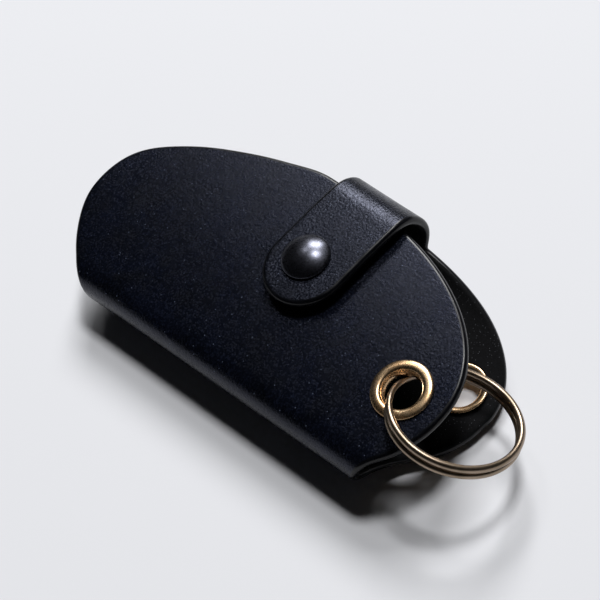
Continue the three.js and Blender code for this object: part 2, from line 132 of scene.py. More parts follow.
# Eyelets
EYELET_HOLE = 7.4
EYELET_FLANGE = 6.25
EYELET_LIP = 5.7
EYELET_LIP_HEIGHT = 0.4
EYELET_LIP_ROUND = (0.3, 0.25)
EYELET_DOME = 0.7
EYELET_CROWN = 1.25
EYELET_FLARE = 1.6
EYELET_RIM = 0.15
EYELET_RIM_EASE = 0.04
EYELET_WALL = 0.5
EYELET_PLAY = 0.7
EYELET_STEP = ((0.03, 0.06), (0.09, 0.04), (0.13, 0.08))
EYELET_STEP_END = (0.15, 0.16)
FRONT_EYELET = (40.7, 23.3)
REAR_EYELET = (42.0, 27.5)

# Split ring, placed from the front eyelet
RING_RADIUS = 12.7
RING_WIRE = 1.15
RING_FULL_OUT, RING_FULL_UP = 0.74, 0.77
RING_PITCH = 1.6
RING_SWEEP = math.radians(668)
RING_LEAD = math.radians(15)
RING_CROSSING = math.radians(52)
RING_FULL_FADE = math.radians(25)
RING_END_ROUND = 0.35
RING_END_BLUNT = 0.3
RING_FROM_EYELET = (10.54, 1.48, -3.63)
RING_TURN = tuple(math.radians(turn) for turn in (-32.85, 10.31, -143.94))

# Mesh steps, and what the triangulation takes as one point
OVAL_STEPS = 60
NECK_STEPS = 120
STRAP_ROWS = 160
COVER_STEP, STRAP_STEP = 1.6, 1.1
RIM_STEP_SHARE = 0.6
RIM_CLEAR_SHARE = 0.5
HOLE_SIDES = 40
HOLE_INSIDE = 0.99
LATHE_SIDES = 96
RING_STEPS, RING_SIDES = 320, 20
SPRING_STEPS, SPRING_SIDES = 80, 12
SHARP_CORNER = math.radians(40)
POINT_DECIMALS, SAME_POINT = 4, 1e-7
INSIDE_ONLY = 1


def smooth_step(value):
    value = min(max(value, 0), 1)
    return value * value * (3 - 2 * value)


def spread(low, high, count):
    return [low + (high - low) * index / count for index in range(count + 1)]


def round_turns(sides):
    return [2 * math.pi * side / sides for side in range(sides)]


def in_frame(x, y, z):
    return [(value + centre) * MM for value, centre in zip((x, y, z), FOLD_CENTRE)]


def into_scene(name, data):
    made = bpy.data.objects.new(name, data)
    bpy.context.scene.collection.objects.link(made)
    return made


# Paths of straight and round stretches in the YZ plane: a point and its slope at a distance
def walk(path, distance):
    y, z, angle = path["start"]
    left = distance
    for index, (length, curvature) in enumerate(path["stretches"]):
        last = index == len(path["stretches"]) - 1
        step = left if last else min(left, length)
        turned = angle + curvature * step
        if curvature == 0:
            y += step * math.cos(angle)
            z += step * math.sin(angle)
        else:
            y += (math.sin(turned) - math.sin(angle)) / curvature
            z += (math.cos(angle) - math.cos(turned)) / curvature
        angle = turned
        left -= step
        if left <= 0:
            break
    return y, z, angle


# The same, off the path towards the leather's outside
def off_path(path, distance, offset):
    y, z, angle = walk(path, distance)
    side = path["outward"] * offset
    return y - side * math.sin(angle), z + side * math.cos(angle), angle


fold_length = FOLD_RADIUS * (math.pi - FRONT_RISE - REAR_DIP)
rear_share = fold_length - FOLD_FRONT_SHARE
rear_length = LEAF_OFFSET + REAR_REACH - rear_share
front_start = (-FOLD_RADIUS * math.sin(FRONT_RISE), FOLD_RADIUS * math.cos(FRONT_RISE))
rear_start = (-FOLD_RADIUS * math.sin(REAR_DIP), -FOLD_RADIUS * math.cos(REAR_DIP))
rest_start = REAR_DIP * REAR_BOW_RADIUS
front_path = {
    "outward": 1,
    "start": (*front_start, FRONT_RISE),
    "stretches": [(math.inf, -1 / FRONT_BOW_RADIUS)],
}
fold_path = {
    "outward": -1,
    "start": (*front_start, FRONT_RISE + math.pi),
    "stretches": [(fold_length, 1 / FOLD_RADIUS)],
}
rear_path = {
    "outward": -1,
    "start": (*rear_start, -REAR_DIP),
    "stretches": [
        (rest_start, 1 / REAR_BOW_RADIUS),
        (REST_FLAT, 0),
        (rear_length - rest_start - REST_FLAT - REAR_CURL, 1 / REAR_BOW_RADIUS),
        (REAR_CURL, 1 / REAR_CURL_RADIUS),
    ],
}

# The strap's bend from the rear leaf's edge over to the front leaf
edge_y, edge_z, edge_angle = walk(rear_path, rear_length)
bow_y = front_start[0] + FRONT_BOW_RADIUS * math.sin(FRONT_RISE)
bow_z = front_start[1] - FRONT_BOW_RADIUS * math.cos(FRONT_RISE)
strap_radius = FRONT_BOW_RADIUS + LEATHER / 2 + STRAP_LIFT + STRAP_THICKNESS / 2
away_y, away_z = edge_y - bow_y, edge_z - bow_z
bend_radius = (strap_radius**2 - away_y**2 - away_z**2) / (
    2 * (away_z * math.cos(edge_angle) - away_y * math.sin(edge_angle) + strap_radius)
)
bend_y = edge_y - bend_radius * math.sin(edge_angle)
bend_z = edge_z + bend_radius * math.cos(edge_angle)
landing_rise = math.atan2(bow_y - bend_y, bend_z - bow_z)
crest = rear_length + bend_radius * (math.pi - edge_angle)
landing = crest + bend_radius * landing_rise
strap_hinge = crest - bend_radius * STRAP_HINGE_BEFORE_CREST
strap_path = {
    "outward": -1,
    "start": rear_path["start"],
    "stretches": [
        *rear_path["stretches"],
        (landing - rear_length, 1 / bend_radius),
        (math.inf, 1 / strap_radius),
    ],
}
snap_on_front = SNAP_FROM_FOLD - FOLD_FRONT_SHARE
snap_rise = FRONT_RISE - snap_on_front / FRONT_BOW_RADIUS
snap_on_strap = landing + strap_radius * (snap_rise - landing_rise)
strap_round_start = snap_on_strap + STRAP_END_MARGIN - STRAP_WIDTH / 2


# Half length and middle of the flat pattern at a distance from the fold's centre line
def ellipse_half_length(from_fold):
    return LEAF_HALF_LENGTH * math.sqrt(1 - ((from_fold - LEAF_OFFSET) / LEAF_HALF_HEIGHT) ** 2)


neck_slope = (LEAF_HALF_LENGTH**2 * (LEAF_OFFSET - NECK_FILLET)) / (
    LEAF_HALF_HEIGHT**2 * ellipse_half_length(NECK_FILLET)
)
neck_curve = neck_slope / (2 * NECK_FILLET)
neck_half_length = ellipse_half_length(NECK_FILLET) - neck_curve * NECK_FILLET**2


def half_length(from_fold):
    distance = abs(from_fold)
    if distance < NECK_FILLET:
        return neck_half_length + neck_curve * distance**2
    return ellipse_half_length(distance)


def middle_x(from_fold):
    waist = max(1 - abs(from_fold) / LEAF_OFFSET, 0)
    return NECK_SHIFT * math.sin(math.pi / 2 * waist) ** 2


# Bends of the two leather pieces: pattern place and height over the mid layer to a point
def bend_cover(along, from_fold, offset):
    if from_fold >= FOLD_FRONT_SHARE:
        y, z, _ = off_path(front_path, from_fold - FOLD_FRONT_SHARE, offset)
    elif from_fold >= -rear_share:
        y, z, _ = off_path(fold_path, FOLD_FRONT_SHARE - from_fold, offset)
    else:
        y, z, _ = off_path(rear_path, -from_fold - rear_share, offset)
    return along, y, z


def bend_strap(along, distance, offset):
    y, z, _ = off_path(strap_path, distance, offset)
    shift = STRAP_OFF_CENTRE + STRAP_SKEW * (snap_on_strap - max(distance, crest))
    skew = smooth_step((distance - strap_hinge + STRAP_SKEW_FADE) / STRAP_SKEW_FADE)
    return along + shift, y - STRAP_SKEW * (along - STRAP_X) * skew, z


# A closed outline with even steps
def even_steps(points, step):
    loop = np.array(points + points[:1], float)
    lengths = np.hypot(*np.diff(loop, axis=0).T)
    at = np.concatenate([[0], np.cumsum(lengths)])
    count = int(at[-1] / step)
    places = np.linspace(0, at[-1], count, endpoint=False)
    return np.stack([np.interp(places, at, loop[:, axis]) for axis in (0, 1)], 1)


def area_of(loop):
    x, y = loop[:, 0], loop[:, 1]
    return float(np.sum(x * np.roll(y, -1) - np.roll(x, -1) * y) / 2)


def anticlockwise(loop):
    return loop[::-1] if area_of(loop) < 0 else loop


# The outline moved inwards by a distance, for a loop that runs anticlockwise
def inset_loop(loop, distance):
    ahead = np.roll(loop, -1, 0) - np.roll(loop, 1, 0)
    normal = np.stack([-ahead[:, 1], ahead[:, 0]], 1)
    normal /= np.linalg.norm(normal, axis=1)[:, None]
    return loop + normal * np.reshape(distance, (-1, 1))


def inside(point, loop):
    x, y = point
    ax, ay = loop[:, 0], loop[:, 1]
    bx, by = np.roll(ax, -1), np.roll(ay, -1)
    crossing = (ay > y) != (by > y)
    at = ax + (y - ay) * (bx - ax) / np.where(by == ay, 1, by - ay)
    return bool(np.count_nonzero(crossing & (x < at)) % 2)


def nearest(points, loop):
    return np.sqrt(((points[:, None] - loop[None]) ** 2).sum(-1)).min(1)


def stray(x, from_fold):
    front = from_fold > 0
    reach = LEAF_HALF_HEIGHT if front else REAR_REACH
    rise = (abs(from_fold) - LEAF_OFFSET) / reach
    round_leaf = math.degrees(math.atan2(rise, x / LEAF_HALF_LENGTH)) % 360
    waves = FRONT_STRAY if front else REAR_STRAY
    return KNIFE_EASE + sum(
        height * math.exp(-(((round_leaf - centre) / width) ** 2)) for centre, width, height in waves
    )


def hand_cut(points):
    loop = anticlockwise(even_steps(points, KNIFE_STEP))
    pushed = inset_loop(loop, [-stray(x, from_fold) for x, from_fold in loop])
    return [tuple(point) for point in pushed]


def cover_outline():
    quarter = math.pi / 2
    right = [
        (LEAF_HALF_LENGTH * math.cos(turn), LEAF_OFFSET + LEAF_HALF_HEIGHT * math.sin(turn))
        for turn in spread(quarter, 0, OVAL_STEPS)
    ]
    sides = spread(LEAF_OFFSET, -LEAF_OFFSET, NECK_STEPS)
    right += [(middle_x(place) + half_length(place), place) for place in sides[1:]]
    right += [
        (LEAF_HALF_LENGTH * math.cos(turn), -LEAF_OFFSET - REAR_REACH * math.sin(turn))
        for turn in spread(0, quarter, OVAL_STEPS)[1:]
    ]
    left = [(2 * middle_x(place) - x, place) for x, place in reversed(right[1:-1])]
    return right + left


def strap_outline():
    half = STRAP_WIDTH / 2
    root_shift = STRAP_OFF_CENTRE + STRAP_SKEW * (snap_on_strap - crest)

    def fillet(x, side, distance):
        root = (x + side * STRAP_ROOT_FILLET + root_shift) / LEAF_HALF_LENGTH
        edge = REAR_REACH * math.sqrt(1 - root**2) + LEAF_OFFSET - rear_share + KNIFE_EASE
        rise = min(max(distance - edge, 0), STRAP_ROOT_FILLET)
        return side * (STRAP_ROOT_FILLET - math.sqrt(rise * (2 * STRAP_ROOT_FILLET - rise)))

    low, high = STRAP_X - half, STRAP_X + half
    rows = spread(rear_length - STRAP_ROOT_OVERLAP, strap_round_start, STRAP_ROWS)
    right = [(high + fillet(high, 1, row), row) for row in rows]
    left = [(low + fillet(low, -1, row), row) for row in rows]
    tip = [
        (STRAP_X + half * math.cos(turn), strap_round_start + half * math.sin(turn))
        for turn in spread(0, math.pi, OVAL_STEPS)[1:-1]
    ]
    return right + tip + left[::-1]


# Points in staggered rows over the leather, clear of its rim and its holes
def points_between(loop, rim, holes, step):
    low, high = loop.min(0), loop.max(0)
    row_step = step * math.sqrt(3) / 2
    points = np.array(
        [
            (low[0] + step / 2 * (row % 2) + column * step, low[1] + row * row_step)
            for row in range(int((high[1] - low[1]) / row_step) + 1)
            for column in range(int((high[0] - low[0]) / step) + 1)
        ]
    )
    points = points[[inside(point, rim) for point in points]]
    points = points[nearest(points, rim) > RIM_CLEAR_SHARE * step]
    for x, y, radius in holes:
        away = np.hypot(points[:, 0] - x, points[:, 1] - y)
        points = points[away > radius + RIM_CLEAR_SHARE * step]
    return points


# Triangles over the flat leather, with rings along its rim for the rounded edge
def cut_flat(loop, rings, holes, step):
    circles = [
        np.array(
            [(x + radius * math.cos(turn), y + radius * math.sin(turn)) for turn in round_turns(HOLE_SIDES)]
        )
        for x, y, radius in holes
    ]
    rims = [*rings, *circles]
    between = points_between(loop, rings[-1], holes, step)
    places = [Vector(point) for group in (*rims, between) for point in group]
    edges, start = [], 0
    for rim in rims:
        count = len(rim)
        edges += [(start + k, start + (k + 1) % count) for k in range(count)]
        start += count
    outside = [list(range(len(loop)))]
    made, _, triangles, _, _, _ = delaunay_2d_cdt(places, edges, outside, INSIDE_ONLY, SAME_POINT)
    flat = np.array([tuple(point) for point in made])
    kept = []
    for triangle in triangles:
        x, y = flat[list(triangle)].mean(0)
        if all(math.hypot(x - at_x, y - at_y) > radius * HOLE_INSIDE for at_x, at_y, radius in holes):
            kept.append(list(triangle))
    return flat, kept


# How far each point lies from the cut edge; a ring's points keep their ring's own distance
def from_cut(flat, loop, rings):
    on_ring = {}
    for distance, ring in zip(EDGE_RINGS, rings):
        for x, y in ring:
            on_ring[(round(x, POINT_DECIMALS), round(y, POINT_DECIMALS))] = distance
    return np.array(
        [
            on_ring.get((round(x, POINT_DECIMALS), round(y, POINT_DECIMALS)), gap)
            for (x, y), gap in zip(flat, nearest(flat, loop))
        ]
    )


# A piece of leather with rounded edges and punched holes, cut flat and then bent. Its materials are those
# of its grain side, its cut edge and its flesh side, and its points keep their place on the pattern
def leather_piece(name, outline, holes, bend, thickness, step, materials):
    grain_side, cut_edge, flesh_side = range(3)
    loop = anticlockwise(even_steps(outline, step * RIM_STEP_SHARE))
    rings = [inset_loop(loop, distance) for distance in EDGE_RINGS]
    flat, kept = cut_flat(loop, rings, holes, step)
    inset = from_cut(flat, loop, rings)
    short = np.clip(EDGE_ROUND - inset, 0, EDGE_ROUND)
    height = thickness / 2 - EDGE_ROUND + np.sqrt(EDGE_ROUND**2 - short**2)
    pattern = [(x, y, side * tall) for side in (1, -1) for (x, y), tall in zip(flat, height)]
    count = len(flat)
    polygons = kept + [[count + k for k in reversed(face)] for face in kept]
    finish = [cut_edge if inset[face].max() < GRAIN_BURNISH else grain_side for face in kept]
    finish += [cut_edge if inset[face].max() < FLESH_BURNISH else flesh_side for face in kept]
    around = dict.fromkeys(side for face in kept for side in zip(face, face[1:] + face[:1]))
    for a, b in around:
        if (b, a) not in around:
            polygons.append([b, a, count + a, count + b])
            finish.append(cut_edge)
    mesh = bpy.data.meshes.new(name)
    mesh.from_pydata([in_frame(*bend(*place)) for place in pattern], [], polygons)
    for material in materials:
        mesh.materials.append(material)
    mesh.polygons.foreach_set("material_index", finish)
    mesh.polygons.foreach_set("use_smooth", [True] * len(polygons))
    on_pattern = mesh.attributes.new("pattern", "FLOAT_VECTOR", "POINT")
    on_pattern.data.foreach_set("vector", np.array(pattern, np.float32).ravel())
    mesh.validate()
    mesh.update()
    return into_scene(name, mesh)


# One function for every node: its kind, its inputs by name or number, and its settings
def add(tree, kind, inputs=None, **settings):
    made = tree.nodes.new("ShaderNode" + kind)
    for name, value in settings.items():
        setattr(made, name, value)
    for name, value in (inputs or {}).items():
        if isinstance(value, bpy.types.NodeSocket):
            tree.links.new(value, made.inputs[name])
        else:
            made.inputs[name].default_value = value
    return made


# The sockets of a Mix node that mixes colours go by number
MIX_SHARE, MIX_UNDER, MIX_OVER, MIXED = 0, 6, 7, 2


# An sRGB hex colour as the linear one that a socket takes
def linear(code):
    parts = [int(code[place : place + 2], 16) / 255 for place in (1, 3, 5)]
    bent = [part / 12.92 if part <= 0.04045 else ((part + 0.055) / 1.055) ** 2.4 for part in parts]
    return (*bent, 1.0)


def set_tones(ramp, *tones):
    for stop, (position, code) in zip(ramp.color_ramp.elements, tones):
        stop.position = position
        stop.color = linear(code)


def new_material(name):
    material = bpy.data.materials.new(name)
    material.use_nodes = True
    material.node_tree.nodes.clear()
    return material, material.node_tree


# Pattern sizes of the leather, in millimetres on the flat hide. Real pores lie 0.1 to 0.2 mm apart, less than
# a pixel of the render (0.27 mm), so grain, pores, creases, fibres and specks are drawn at 0.4 mm and up
DYE_CLOUD = 10.0
WAX_SMEAR = 3.5
COVER_GRAIN, STRAP_GRAIN = 0.40, 0.42
PORE_TO_GRAIN = 1.3
CREASE_TO_GRAIN = 1.5
CREASE_TURNS = (35, -48)
CREASE_SLIMNESS = 0.13
CREASE_HEIGHT = 0.25
PORE_HEIGHT = 0.3
DUST_AND_GLINT_SPACING = 1.0
EDGE_STREAK = 0.8
FIBRE_WIDTH = 0.4
FIBRE_END_SPACING = 0.45
FIBRE_PATCH = 6.0
LEATHER_IOR = 1.5


# Vegetable-tanned cowhide, dyed through, waxed and brushed: nearly black with cloudy blue dye, a broken
# grain that glints where light falls on it, a pale bloom in that grain that is partly wax and partly painted
# glints, dull pores, short brush creases in two directions, and pale specks, partly dust and partly painted
# glints
def waxed_grain_leather(name, grain_size, depth, shine, bloom_and_glint):
    material, tree = new_material(name)
    place = add(tree, "Attribute", attribute_name="pattern").outputs["Vector"]
    cloud = add(
        tree,
        "TexNoise",
        {"Vector": place, "Scale": 1 / DYE_CLOUD, "Detail": 5.0, "Roughness": 0.62, "Distortion": 0.6},
    ).outputs["Fac"]
    dye = add(tree, "ValToRGB", {"Fac": cloud})
    set_tones(dye, (0.34, "#020306"), (0.68, "#080b15"))

    # Wax lies thicker in smears, where it takes a polish
    smear = add(
        tree, "TexNoise", {"Vector": place, "Scale": 1 / WAX_SMEAR, "Detail": 4.0, "Roughness": 0.6}
    ).outputs["Fac"]
    wax = add(tree, "Math", {0: smear, 1: 0.5, 2: cloud}, operation="MULTIPLY_ADD").outputs["Value"]
    polish = add(
        tree,
        "MapRange",
        {"Value": wax, "From Min": 0.6, "From Max": 0.92, "To Min": 0.27, "To Max": 0.17},
    ).outputs["Result"]

    # Its bloom stays in the grain: a pale colour that is partly wax and partly painted glints of light on the
    # grain
    grain = add(
        tree, "TexNoise", {"Vector": place, "Scale": 1 / grain_size, "Detail": 3.0, "Roughness": 0.62}
    ).outputs["Fac"]
    powder = add(
        tree,
        "MapRange",
        {"Value": grain, "From Min": 0.5, "From Max": 0.68, "To Min": 0.0, "To Max": 1.0},
    ).outputs["Result"]
    rubbed = add(
        tree,
        "MapRange",
        {"Value": wax, "From Min": 0.62, "From Max": 0.86, "To Min": 0.25, "To Max": 1.0},
    ).outputs["Result"]
    left = add(tree, "Math", {0: powder, 1: rubbed}, operation="MULTIPLY").outputs["Value"]
    # Painted glints: the pale bloom colour mixed into the dye also stands for light glinting on the grain
    bloomed_and_glinting = add(
        tree,
        "Mix",
        {MIX_SHARE: left, MIX_UNDER: dye.outputs["Color"], MIX_OVER: linear(bloom_and_glint)},
        data_type="RGBA",
    ).outputs[MIXED]

    # Pores are dull, and stand in the relief with the grain and the creases
    pore = add(
        tree, "TexVoronoi", {"Vector": place, "Scale": 1 / (PORE_TO_GRAIN * grain_size)}
    ).outputs["Distance"]
    dull = add(
        tree,
        "MapRange",
        {"Value": pore, "From Min": 0.15, "From Max": 0.5, "To Min": 0.18, "To Max": 0.0},
    ).outputs["Result"]
    rough = add(tree, "Math", {0: polish, 1: dull}, operation="ADD").outputs["Value"]
    relief = add(tree, "Math", {0: pore, 1: PORE_HEIGHT, 2: grain}, operation="MULTIPLY_ADD").outputs["Value"]
    for turn in CREASE_TURNS:
        stretched = add(
            tree,
            "Mapping",
            {
                "Vector": place,
                "Rotation": (0.0, 0.0, math.radians(turn)),
                "Scale": (CREASE_SLIMNESS, 1.0, 1.0),
            },
        ).outputs["Vector"]
        crease = add(
            tree,
            "TexNoise",
            {"Vector": stretched, "Scale": 1 / (CREASE_TO_GRAIN * grain_size), "Detail": 4.0},
        ).outputs["Fac"]
        relief = add(
            tree, "Math", {0: crease, 1: CREASE_HEIGHT, 2: relief}, operation="MULTIPLY_ADD"
        ).outputs["Value"]
    bump = add(tree, "Bump", {"Strength": 1.0, "Distance": depth * MM, "Height": relief})

    # Pale specks on about a third of the places, partly dust and partly painted glints of light on the grain
    dust_and_glint_speck = add(tree, "TexVoronoi", {"Vector": place, "Scale": 1 / DUST_AND_GLINT_SPACING})
    dot = add(
        tree,
        "MapRange",
        {
            "Value": dust_and_glint_speck.outputs["Distance"],
            "From Min": 0.14,
            "From Max": 0.07,
            "To Min": 0.0,
            "To Max": 1.0,
        },
    ).outputs["Result"]
    pick = add(tree, "SeparateColor", {"Color": dust_and_glint_speck.outputs["Color"]}).outputs["Red"]
    few = add(tree, "Math", {0: pick, 1: 0.7}, operation="GREATER_THAN").outputs["Value"]
    shown = add(tree, "Math", {0: dot, 1: few}, operation="MULTIPLY").outputs["Value"]
    colour = add(
        tree,
        "Mix",
        {MIX_SHARE: shown, MIX_UNDER: bloomed_and_glinting, MIX_OVER: linear("#5a6274")},
        data_type="RGBA",
    ).outputs[MIXED]
    shader = add(
        tree,
        "BsdfPrincipled",
        {
            "Base Color": colour,
            "Roughness": rough,
            "IOR": LEATHER_IOR,
            "Specular IOR Level": shine,
            "Specular Tint": linear("#d0d8fc"),
            "Normal": bump.outputs["Normal"],
        },
    )
    add(tree, "OutputMaterial", {"Surface": shader.outputs["BSDF"]})
    return material


# Cut edge of the hide, rubbed down with wax: dark and smooth, with faint layers along the cut
def burnished_edge_leather():
    material, tree = new_material("burnished_edge_leather")
    place = add(tree, "Attribute", attribute_name="pattern").outputs["Vector"]
    layers = add(tree, "Mapping", {"Vector": place, "Scale": (0.25, 0.25, 3.0)}).outputs["Vector"]
    streak = add(
        tree, "TexNoise", {"Vector": layers, "Scale": 1 / EDGE_STREAK, "Detail": 4.0}
    ).outputs["Fac"]
    tone = add(tree, "ValToRGB", {"Fac": streak})
    set_tones(tone, (0.35, "#040508"), (0.75, "#0c0d12"))
    rough = add(
        tree,
        "MapRange",
        {"Value": streak, "From Min": 0.3, "From Max": 0.7, "To Min": 0.22, "To Max": 0.32},
    )
    bump = add(tree, "Bump", {"Strength": 0.4, "Distance": 0.03 * MM, "Height": streak})
    shader = add(
        tree,
        "BsdfPrincipled",
        {
            "Base Color": tone.outputs["Color"],
            "Roughness": rough.outputs["Result"],
            "IOR": LEATHER_IOR,
            "Specular IOR Level": 0.26,
            "Normal": bump.outputs["Normal"],
        },
    )
    add(tree, "OutputMaterial", {"Surface": shader.outputs["BSDF"]})
    return material


# Flesh side of the hide, shaved and dyed black: open matted fibres without gloss, with pale ends in patches
def matted_flesh_leather():
    material, tree = new_material("matted_flesh_leather")
    place = add(tree, "Attribute", attribute_name="pattern").outputs["Vector"]
    fibre = add(
        tree,
        "TexNoise",
        {"Vector": place, "Scale": 1 / FIBRE_WIDTH, "Detail": 5.0, "Roughness": 0.7, "Distortion": 1.2},
    ).outputs["Fac"]
    tone = add(tree, "ValToRGB", {"Fac": fibre})
    set_tones(tone, (0.35, "#020203"), (0.75, "#121316"))
    ends = add(tree, "TexVoronoi", {"Vector": place, "Scale": 1 / FIBRE_END_SPACING})
    dot = add(
        tree,
        "MapRange",
        {
            "Value": ends.outputs["Distance"],
            "From Min": 0.2,
            "From Max": 0.08,
            "To Min": 0.0,
            "To Max": 1.0,
        },
    ).outputs["Result"]
    pick = add(tree, "SeparateColor", {"Color": ends.outputs["Color"]}).outputs["Green"]
    patch = add(tree, "TexNoise", {"Vector": place, "Scale": 1 / FIBRE_PATCH, "Detail": 3.0})
    thick = add(
        tree,
        "MapRange",
        {
            "Value": patch.outputs["Fac"],
            "From Min": 0.4,
            "From Max": 0.62,
            "To Min": 0.0,
            "To Max": 0.5,
        },
    ).outputs["Result"]
    chance = add(tree, "Math", {0: pick, 1: thick}, operation="ADD").outputs["Value"]
    few = add(tree, "Math", {0: chance, 1: 0.9}, operation="GREATER_THAN").outputs["Value"]
    shown = add(tree, "Math", {0: dot, 1: few}, operation="MULTIPLY").outputs["Value"]
    colour = add(
        tree,
        "Mix",
        {MIX_SHARE: shown, MIX_UNDER: tone.outputs["Color"], MIX_OVER: linear("#6a6c72")},
        data_type="RGBA",
    ).outputs[MIXED]
    bump = add(tree, "Bump", {"Strength": 0.9, "Distance": 0.12 * MM, "Height": fibre})
    shader = add(
        tree,
        "BsdfPrincipled",
        {
            "Base Color": colour,
            "Roughness": 0.92,
            "IOR": 1.45,
            "Specular IOR Level": 0.2,
            "Normal": bump.outputs["Normal"],
        },
    )
    add(tree, "OutputMaterial", {"Surface": shader.outputs["BSDF"]})
    return material


# A metal skin: two tones in soft clouds, and fine marks in its gloss and relief, left by the tumbling barrel
# or the die. Real marks are about 0.05 mm wide, and these are drawn at 0.3 mm so that they show
def marked_metal(name, dark, light, cloud_size, roughness, mark_size, mark_depth):
    material, tree = new_material(name)
    place = add(tree, "TexCoord").outputs["Object"]
    cloud = add(tree, "TexNoise", {"Vector": place, "Scale": 1 / (cloud_size * MM), "Detail": 4.0})
    tone = add(tree, "ValToRGB", {"Fac": cloud.outputs["Fac"]})
    set_tones(tone, (0.3, dark), (0.7, light))
    marks = add(
        tree, "TexNoise", {"Vector": place, "Scale": 1 / (mark_size * MM), "Detail": 3.0}
    ).outputs["Fac"]
    rough = add(
        tree,
        "MapRange",
        {
            "Value": marks,
            "From Min": 0.3,
            "From Max": 0.7,
            "To Min": roughness[0],
            "To Max": roughness[1],
        },
    )
    bump = add(tree, "Bump", {"Strength": 0.5, "Distance": mark_depth * MM, "Height": marks})
    shader = add(
        tree,
        "BsdfPrincipled",
        {
            "Base Color": tone.outputs["Color"],
            "Metallic": 1.0,
            "Roughness": rough.outputs["Result"],
            "Normal": bump.outputs["Normal"],
        },
    )
    add(tree, "OutputMaterial", {"Surface": shader.outputs["BSDF"]})
    return material


# The cover's leather has a faint bloom; the strap's bloom is painted paler, for the stronger glints of light
# on the strap
cover_leather = waxed_grain_leather(
    "waxed_grain_leather", COVER_GRAIN, depth=0.06, shine=0.28, bloom_and_glint="#171b29"
)
strap_leather = waxed_grain_leather(
    "waxed_strap_leather", STRAP_GRAIN, depth=0.08, shine=0.26, bloom_and_glint="#3a3d47"
)
edge_leather = burnished_edge_leather()
flesh_leather = matted_flesh_leather()
# Brass pressed from sheet and tumbled to a satin: warm gold with soft broad highlights
satin_brass = marked_metal(
    "satin_brass",
    "#cfa87c",
    "#e6c8a2",
    cloud_size=2.5,
    roughness=(0.25, 0.31),
    mark_size=0.3,
    mark_depth=0.0004,
)
# Spring steel plated in aged brass: browner and darker, polished by use
aged_brass_plate = marked_metal(
    "aged_brass_plate",
    "#8a7b69",
    "#a39180",
    cloud_size=4.0,
    roughness=(0.28, 0.36),
    mark_size=0.3,
    mark_depth=0.0004,
)
# Stamped steel under black nickel: dark grey, glossy, with a soft bloom round its highlight
black_nickel = marked_metal(
    "black_nickel",
    "#484951",
    "#5e606a",
    cloud_size=3.0,
    roughness=(0.24, 0.33),
    mark_size=0.35,
    mark_depth=0.0008,
)
# Spring steel wire, drawn through a die: bright grey with a fine tooth
bright_spring_steel = marked_metal(
    "bright_spring_steel",
    "#85868a",
    "#a3a4a8",
    cloud_size=1.5,
    roughness=(0.25, 0.35),
    mark_size=0.3,
    mark_depth=0.006,
)

# The cover: front leaf, fold and rear leaf in one piece, and the strap that closes it
eyelet_hole = EYELET_HOLE / 2 + EYELET_PLAY
cover_cut = hand_cut(cover_outline())
cover_holes = [
    (*FRONT_EYELET, eyelet_hole),
    (REAR_EYELET[0], -REAR_EYELET[1], eyelet_hole),
    (STRAP_X, SNAP_FROM_FOLD, POST_STEM_HOLE),
]
cover = leather_piece(
    "leather_cover",
    cover_cut,
    cover_holes,
    bend_cover,
    LEATHER,
    COVER_STEP,
    [cover_leather, edge_leather, flesh_leather],
)
strap_cut = strap_outline()
strap_holes = [(STRAP_X - STRAP_OFF_CENTRE, snap_on_strap, SOCKET_NECK_HOLE)]
strap = leather_piece(
    "leather_strap",
    strap_cut,
    strap_holes,
    bend_strap,
    STRAP_THICKNESS,
    STRAP_STEP,
    [strap_leather, edge_leather, flesh_leather],
)


# Where a metal piece stands on the leather's outer face, with its own Z axis square to it
def seat(x, path, distance):
    y, z, angle = off_path(path, distance, LEATHER / 2)
    turn = angle if path["outward"] > 0 else angle + math.pi
    return Matrix.Translation(in_frame(x, y, z)) @ Matrix.Rotation(turn, 4, "X")


# Join the doubled points on the axis, turn the faces outward and smooth all but the sharp corners
def finished_metal(name, vertices, faces, material, place):
    mesh = bpy.data.meshes.new(name)
    mesh.from_pydata(vertices, [], faces)
    work = bmesh.new()
    work.from_mesh(mesh)
    bmesh.ops.remove_doubles(work, verts=work.verts, dist=SAME_POINT)
    bmesh.ops.recalc_face_normals(work, faces=work.faces)
    for edge in work.edges:
        if len(edge.link_faces) == 2 and edge.calc_face_angle() > SHARP_CORNER:
            edge.smooth = False
    for face in work.faces:
        face.smooth = True
    bmesh.ops.transform(work, matrix=place, verts=work.verts)
    work.to_mesh(mesh)
    work.free()
    mesh.materials.append(material)
    return into_scene(name, mesh)


# A turned piece: a closed profile of radius and height, carried round its own Z axis
def turned_piece(name, profile, material, place):
    count = len(profile)
    vertices = [
        (radius * math.cos(turn) * MM, radius * math.sin(turn) * MM, height * MM)
        for turn in round_turns(LATHE_SIDES)
        for radius, height in profile
    ]
    faces = []
    for side in range(LATHE_SIDES):
        here, after = side * count, (side + 1) % LATHE_SIDES * count
        for step in range(count):
            forth = (step + 1) % count
            faces.append([here + step, after + step, after + forth, here + forth])
    return finished_metal(name, vertices, faces, material, place)


# A wire swept along its centre line of radius, turn and height, with a section for each share of its length
def wire_piece(name, line, section, material, place):
    sides = len(section(0))
    steps = len(line)
    vertices, faces = [], []
    for index, (radius, turn, height) in enumerate(line):
        for out, up in section(index / (steps - 1)):
            reach = (radius + out) * MM
            vertices.append((reach * math.cos(turn), reach * math.sin(turn), (height + up) * MM))
    for step in range(steps - 1):
        here, after = step * sides, (step + 1) * sides
        for side in range(sides):
            forth = (side + 1) % sides
            faces.append([here + side, here + forth, after + forth, after + side])
    faces.append(list(range(sides))[::-1])
    faces.append([(steps - 1) * sides + side for side in range(sides)])
    return finished_metal(name, vertices, faces, material, place)


def arc(centre_r, centre_h, radius_r, radius_h, start, stop, steps):
    return [
        (
            centre_r + radius_r * math.cos(math.radians(turn)),
            centre_h + radius_h * math.sin(math.radians(turn)),
        )
        for turn in spread(start, stop, steps)
    ]


